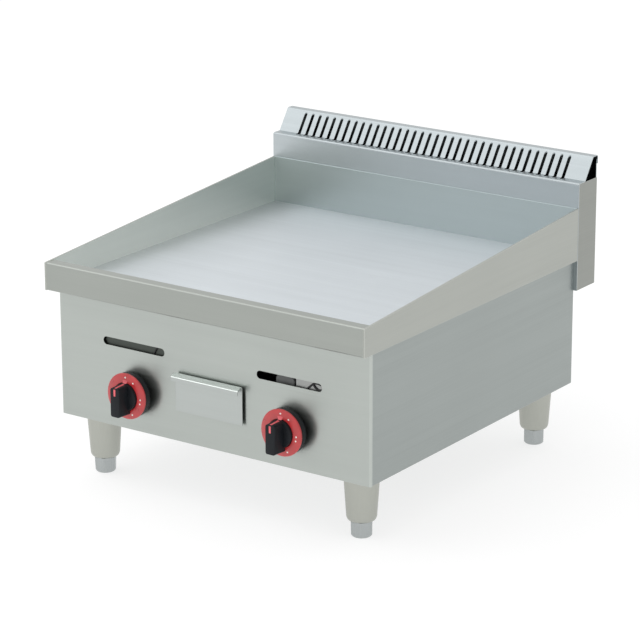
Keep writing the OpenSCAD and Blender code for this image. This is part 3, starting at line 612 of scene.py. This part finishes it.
def slab_stack(name, centre, levels, corner_steps=6, bevel=1.0 * MM):
    """Bar with rounded corners, built from levels of (out, half width, up, down, corner radius)."""
    bm = bmesh.new()
    rings = []
    for out, half, up, down, corner in levels:
        ring = []
        for quarter, (sx, sz, reach) in enumerate(((1, 1, up), (1, -1, down), (-1, -1, down), (-1, 1, up))):
            mid_x = sx * (half - corner)
            mid_z = sz * (reach - corner)
            for k in range(corner_steps):
                angle = math.radians(90 * quarter + 90 * k / (corner_steps - 1))
                ring.append(bm.verts.new(centre + Vector((
                    mid_x + corner * math.sin(angle), -out, mid_z + corner * math.cos(angle)
                ))))
        rings.append(ring)
    count = len(rings[0])
    for near, far in zip(rings, rings[1:]):
        for i in range(count):
            j = (i + 1) % count
            bm.faces.new([near[i], near[j], far[j], far[i]])
    bm.faces.new(rings[0])
    bm.faces.new(rings[-1])
    bmesh.ops.recalc_face_normals(bm, faces=bm.faces)
    rim = [e for e in bm.edges if e.calc_face_angle(0) > math.radians(50)]
    bmesh.ops.bevel(bm, geom=rim, offset=bevel, offset_type="OFFSET", segments=3,
                    profile=0.5, affect="EDGES", clamp_overlap=True)
    return finish_mesh(bm, name)


def ribbon(name, centre, path, width, thick):
    """Raised line along a path of (out, height, widths wide), its back sunk in."""
    bm = bmesh.new()
    rows = []
    for i, (out, up, spread) in enumerate(path):
        before = Vector(path[max(i - 1, 0)][:2])
        after = Vector(path[min(i + 1, len(path) - 1)][:2])
        along = (after - before).normalized()
        away = Vector((-along.y, along.x))
        half = width / 2 * spread
        row = []
        for side, lift in ((-1, -1.0), (-1, 0.5), (-0.6, 1.0), (0.6, 1.0), (1, 0.5), (1, -1.0)):
            place = Vector((out, up)) + away * thick * lift
            row.append(bm.verts.new(centre + Vector((half * side, -place.x, place.y))))
        rows.append(row)
    for near, far in zip(rows, rows[1:]):
        for i in range(6):
            j = (i + 1) % 6
            bm.faces.new([near[i], near[j], far[j], far[i]])
    bm.faces.new(rows[0])
    bm.faces.new(rows[-1])
    bmesh.ops.recalc_face_normals(bm, faces=bm.faces)
    return finish_mesh(bm, name, 60)


HUB_R = 22 * MM
HUB_RISE = 5 * MM  # how far the hub stands in front of the ring
SKIRT_INSET = 1 * MM  # how far the skirt stays inside the ring's rim
SKIRT_CHAMFER = 1.5 * MM
RING_GAP = 0.05 * MM  # between the hub and the ring
RING_CROWN = 0.6 * MM  # how far the ring's face swells beside the hub
RING_FALL = 1.9 * MM  # how far the dots' line falls from the hub to the rim
GRIP_HALF = 9 * MM
GRIP_UP = 21 * MM
GRIP_DOWN = 28 * MM
POINTER_WIDTH = 3.6 * MM
POINTER_RISE = 0.35 * MM
POINTER_SPARE = 0.1 * MM  # how far the pointer stays behind the front of the frame's knob
# Each dot's angle, in degrees clockwise from the top as the user sees it, and its distance from
# the axis, in millimetres
DIAL_MARKS = ((0, 30.5), (32, 27.8), (91, 28.2), (104.5, 28.2), (156, 30.0))
DOT_SIZES = {"Dot radius": 1.7 * MM, "Dot rise": 0.35 * MM}
DOT_TREE = dot_tree("dial_dots", DOT_SIZES, MARK_WHITE)


def make_knob(side):
    low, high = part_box(side + "_knob")
    ring_low, ring_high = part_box(side + "_dial_ring")
    back = Vector(((low.x + high.x) / 2, high.y, (ring_low.z + ring_high.z) / 2))
    dial_r = (ring_high.z - ring_low.z) / 2
    ring_back = high.y - ring_high.y
    ring_front = high.y - ring_low.y
    face = high.y - low.y - POINTER_RISE - POINTER_SPARE
    skirt_r = dial_r - SKIRT_INSET
    body = side + "_knob"
    pieces = []
    skirt = lathe(side + "_knob_body", [
        (0, 0),
        (skirt_r - SKIRT_CHAMFER, 0),
        (skirt_r, SKIRT_CHAMFER),
        (skirt_r, ring_back),
        (HUB_R, ring_back),
        (HUB_R, ring_front + 3.4 * MM),
        (HUB_R - 0.5 * MM, ring_front + 4.6 * MM),
        (HUB_R - 1.8 * MM, ring_front + HUB_RISE),
        (0, ring_front + HUB_RISE),
    ], back, smooth_angle=50)
    pieces.append((make_object(side + "_knob_body", skirt, KNOB_BLACK), "knob_black", side + "_knob"))
    grip = slab_stack(side + "_grip", back, [
        (ring_front - 1 * MM, GRIP_HALF, GRIP_UP, GRIP_DOWN, 4 * MM),
        (face * 0.55, GRIP_HALF - 0.15 * MM, GRIP_UP - 0.3 * MM, GRIP_DOWN - 0.5 * MM, 3.8 * MM),
        (face, GRIP_HALF - 0.3 * MM, GRIP_UP - 0.8 * MM, GRIP_DOWN - 1.5 * MM, 3.4 * MM),
    ])
    pieces.append((make_object(side + "_grip", grip, KNOB_BLACK), "knob_black", None))
    ring = lathe(side + "_red_ring", [
        (HUB_R + RING_GAP, ring_back),
        (dial_r, ring_back),
        (dial_r, ring_front - 2.6 * MM),
        (dial_r - 0.5 * MM, ring_front - 1.8 * MM),
        (dial_r - 2.2 * MM, ring_front - 1.0 * MM),
        (HUB_R + 2.4 * MM, ring_front + RING_CROWN),
        (HUB_R + 0.9 * MM, ring_front + 0.5 * MM),
        (HUB_R + RING_GAP, ring_front - 0.6 * MM),
        (HUB_R + RING_GAP, ring_back),
    ], back, smooth_angle=24)
    pieces.append((make_object(side + "_red_ring", ring, DIAL_RED), "dial_red", side + "_dial_ring"))
    spots = []
    for turn, reach in DIAL_MARKS:
        angle, r = math.radians(turn), reach * MM
        share = (r - HUB_R) / (dial_r - HUB_R)
        out = ring_front + RING_CROWN - share * RING_FALL
        spots.append(back + Vector((r * math.sin(angle), -out, r * math.cos(angle))))
    dots = grown(side + "_dial_dots", spots, DOT_TREE, DOT_SIZES, MARK_WHITE)
    pieces.append((dots, "dial_red", None))
    top = GRIP_UP - 0.1 * MM
    pointer = ribbon(side + "_pointer", back, [
        (ring_front + 0.3 * MM, top + 6.0 * MM, 2.6),
        (ring_front + 0.7 * MM, top + 2.4 * MM, 2.2),
        (ring_front + 2.5 * MM, top + 0.6 * MM, 1.6),
        (ring_front + 6 * MM, top - 0.1 * MM, 1.15),
        (face - 3.0 * MM, top - 0.7 * MM, 1.0),
        (face - 0.9 * MM, top - 1.3 * MM, 1.0),
        (face, top - 2.8 * MM, 1.0),
        (face, top - 13.0 * MM, 0.9),
    ], POINTER_WIDTH, POINTER_RISE)
    pieces.append((make_object(side + "_pointer", pointer, POINTER_RED), "dial_red", None))
    for obj, finish, node in pieces:
        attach(obj, body)
        if node:
            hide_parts(node)


# ---------------------------------------------------------------- behind the sight slots
def bent_rod(name, points, radius, material, steps=12):
    """Round wire through a list of points."""
    curve = bpy.data.curves.new(name, "CURVE")
    curve.dimensions = "3D"
    curve.bevel_depth = radius
    curve.bevel_resolution = steps // 4
    curve.use_fill_caps = True
    line = curve.splines.new("POLY")
    line.points.add(len(points) - 1)
    for knot, place in zip(line.points, points):
        knot.co = (*place, 1)
    holder = bpy.data.objects.new(name + "_line", curve)
    bpy.context.scene.collection.objects.link(holder)
    graph = bpy.context.evaluated_depsgraph_get()
    mesh = bpy.data.meshes.new_from_object(holder.evaluated_get(graph))
    bpy.data.objects.remove(holder)
    bpy.data.curves.remove(curve)
    for face in mesh.polygons:
        face.use_smooth = True
    mesh.set_sharp_from_angle(angle=math.radians(50))
    obj = make_object(name, mesh, material)
    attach(obj, "root")
    return obj


WIRE_STANDS_OFF = 0.0009  # the wires' middle lines, in front of the brackets
PLATE_OVER_SLOT = 20 * MM  # how far the plates stand above the slots' middle


def make_slot_details():
    """A wire across the left plate, and a spring fork and a pilot hood at the right one."""
    low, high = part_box("left_pilot_bracket")
    face_y = low.y - WIRE_STANDS_OFF
    knob_low, knob_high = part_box("left_knob")
    left_x = (knob_low.x + knob_high.x) / 2
    mid_z = high.z - PLATE_OVER_SLOT
    bent_rod("left_igniter_lead", [
        (left_x + 33 * MM, face_y, mid_z - 14 * MM),
        (left_x + 36 * MM, face_y, mid_z - 7 * MM),
        (left_x + 44 * MM, face_y, mid_z + 6 * MM),
        (left_x + 50 * MM, face_y, mid_z + 12 * MM),
    ], 1.3 * MM, CLIP_BLACK)
    right_x = -left_x
    for word, points in (
        ("stem", [(28, -9), (33.5, -4), (41, 2.6)]),
        ("upper", [(40, 1.2), (44, 4.2), (50, 4.8), (55.5, 3.4)]),
        ("lower", [(41.5, 2.5), (44.5, -1.6), (50, -5.4), (56.5, -4.6), (58.5, -3.6)]),
    ):
        bent_rod("right_spring_fork_" + word, [
            (right_x + x * MM, face_y, mid_z + z * MM) for x, z in points
        ], 1.5 * MM, CLIP_BLACK)
    cover = slab_stack("right_pilot_hood", Vector((right_x - 12 * MM, low.y + 9 * MM, mid_z - 6 * MM)), [
        (0, 18 * MM, 12 * MM, 16 * MM, 9 * MM),
        (7 * MM, 17 * MM, 11 * MM, 16 * MM, 8 * MM),
    ], bevel=2 * MM)
    hood = make_object("right_pilot_hood", cover, HOOD_GREY)
    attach(hood, "root")


# ---------------------------------------------------------------- studio
def area_light(name, place, aim, size, watts):
    data = bpy.data.lights.new(name, "AREA")
    data.shape = "RECTANGLE"
    data.size, data.size_y = size
    data.energy = watts
    light = bpy.data.objects.new(name, data)
    bpy.context.scene.collection.objects.link(light)
    light.location = place
    light.rotation_euler = (Vector(aim) - Vector(place)).to_track_quat("-Z", "Y").to_euler()


def make_studio():
    mesh = bpy.data.meshes.new("studio_floor")
    reach = 30.0
    mesh.from_pydata(
        [(-reach, -reach, 0), (reach, -reach, 0), (reach, reach, 0), (-reach, reach, 0)],
        [], [(0, 1, 2, 3)],
    )
    material, tree, bsdf = start_material("studio_floor")
    bsdf.inputs["Base Color"].default_value = (0.32, 0.32, 0.32, 1)
    bsdf.inputs["Roughness"].default_value = 0.9
    bsdf.inputs["Specular IOR Level"].default_value = 0.0
    bsdf.inputs["Emission Color"].default_value = (1, 1, 1, 1)
    bsdf.inputs["Emission Strength"].default_value = 0.74
    floor = make_object("studio_floor", mesh, material)
    floor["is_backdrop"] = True
    area_light("soft_top", (-1.6, -0.6, 3.4), (0, 0, 0.3), (4.0, 4.0), 40)
    world = bpy.data.worlds.new("studio")
    world.use_nodes = True
    tree = world.node_tree
    sky = tree.nodes["Background"]
    place = add(tree, "ShaderNodeTexCoord")
    split = add(tree, "ShaderNodeSeparateXYZ")
    join(tree, place, "Generated", split, "Vector")
    side = add(tree, "ShaderNodeMapRange")
    side.inputs["From Min"].default_value = -0.6
    side.inputs["From Max"].default_value = 1.0
    side.inputs["To Min"].default_value = 1.0
    side.inputs["To Max"].default_value = 0.75
    join(tree, split, "X", side, "Value")
    tint = add(tree, "ShaderNodeCombineColor")
    for channel in ("Red", "Green", "Blue"):
        join(tree, side, "Result", tint, channel)
    join(tree, tint, "Color", sky, "Color")
    sky.inputs["Strength"].default_value = 0.95
    bpy.context.scene.world = world
    bpy.context.scene.view_settings.view_transform = "Standard"


make_camera()
skin_sheets()
skin_feet()
finish_inner_nodes()
make_knob("left")
make_knob("right")
make_screws()
make_slot_details()
make_studio()

boxes = {"cad": CAD_BOX, "visual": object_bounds()}
{k: [list(map(float, v)) for v in box] for k, box in boxes.items()}
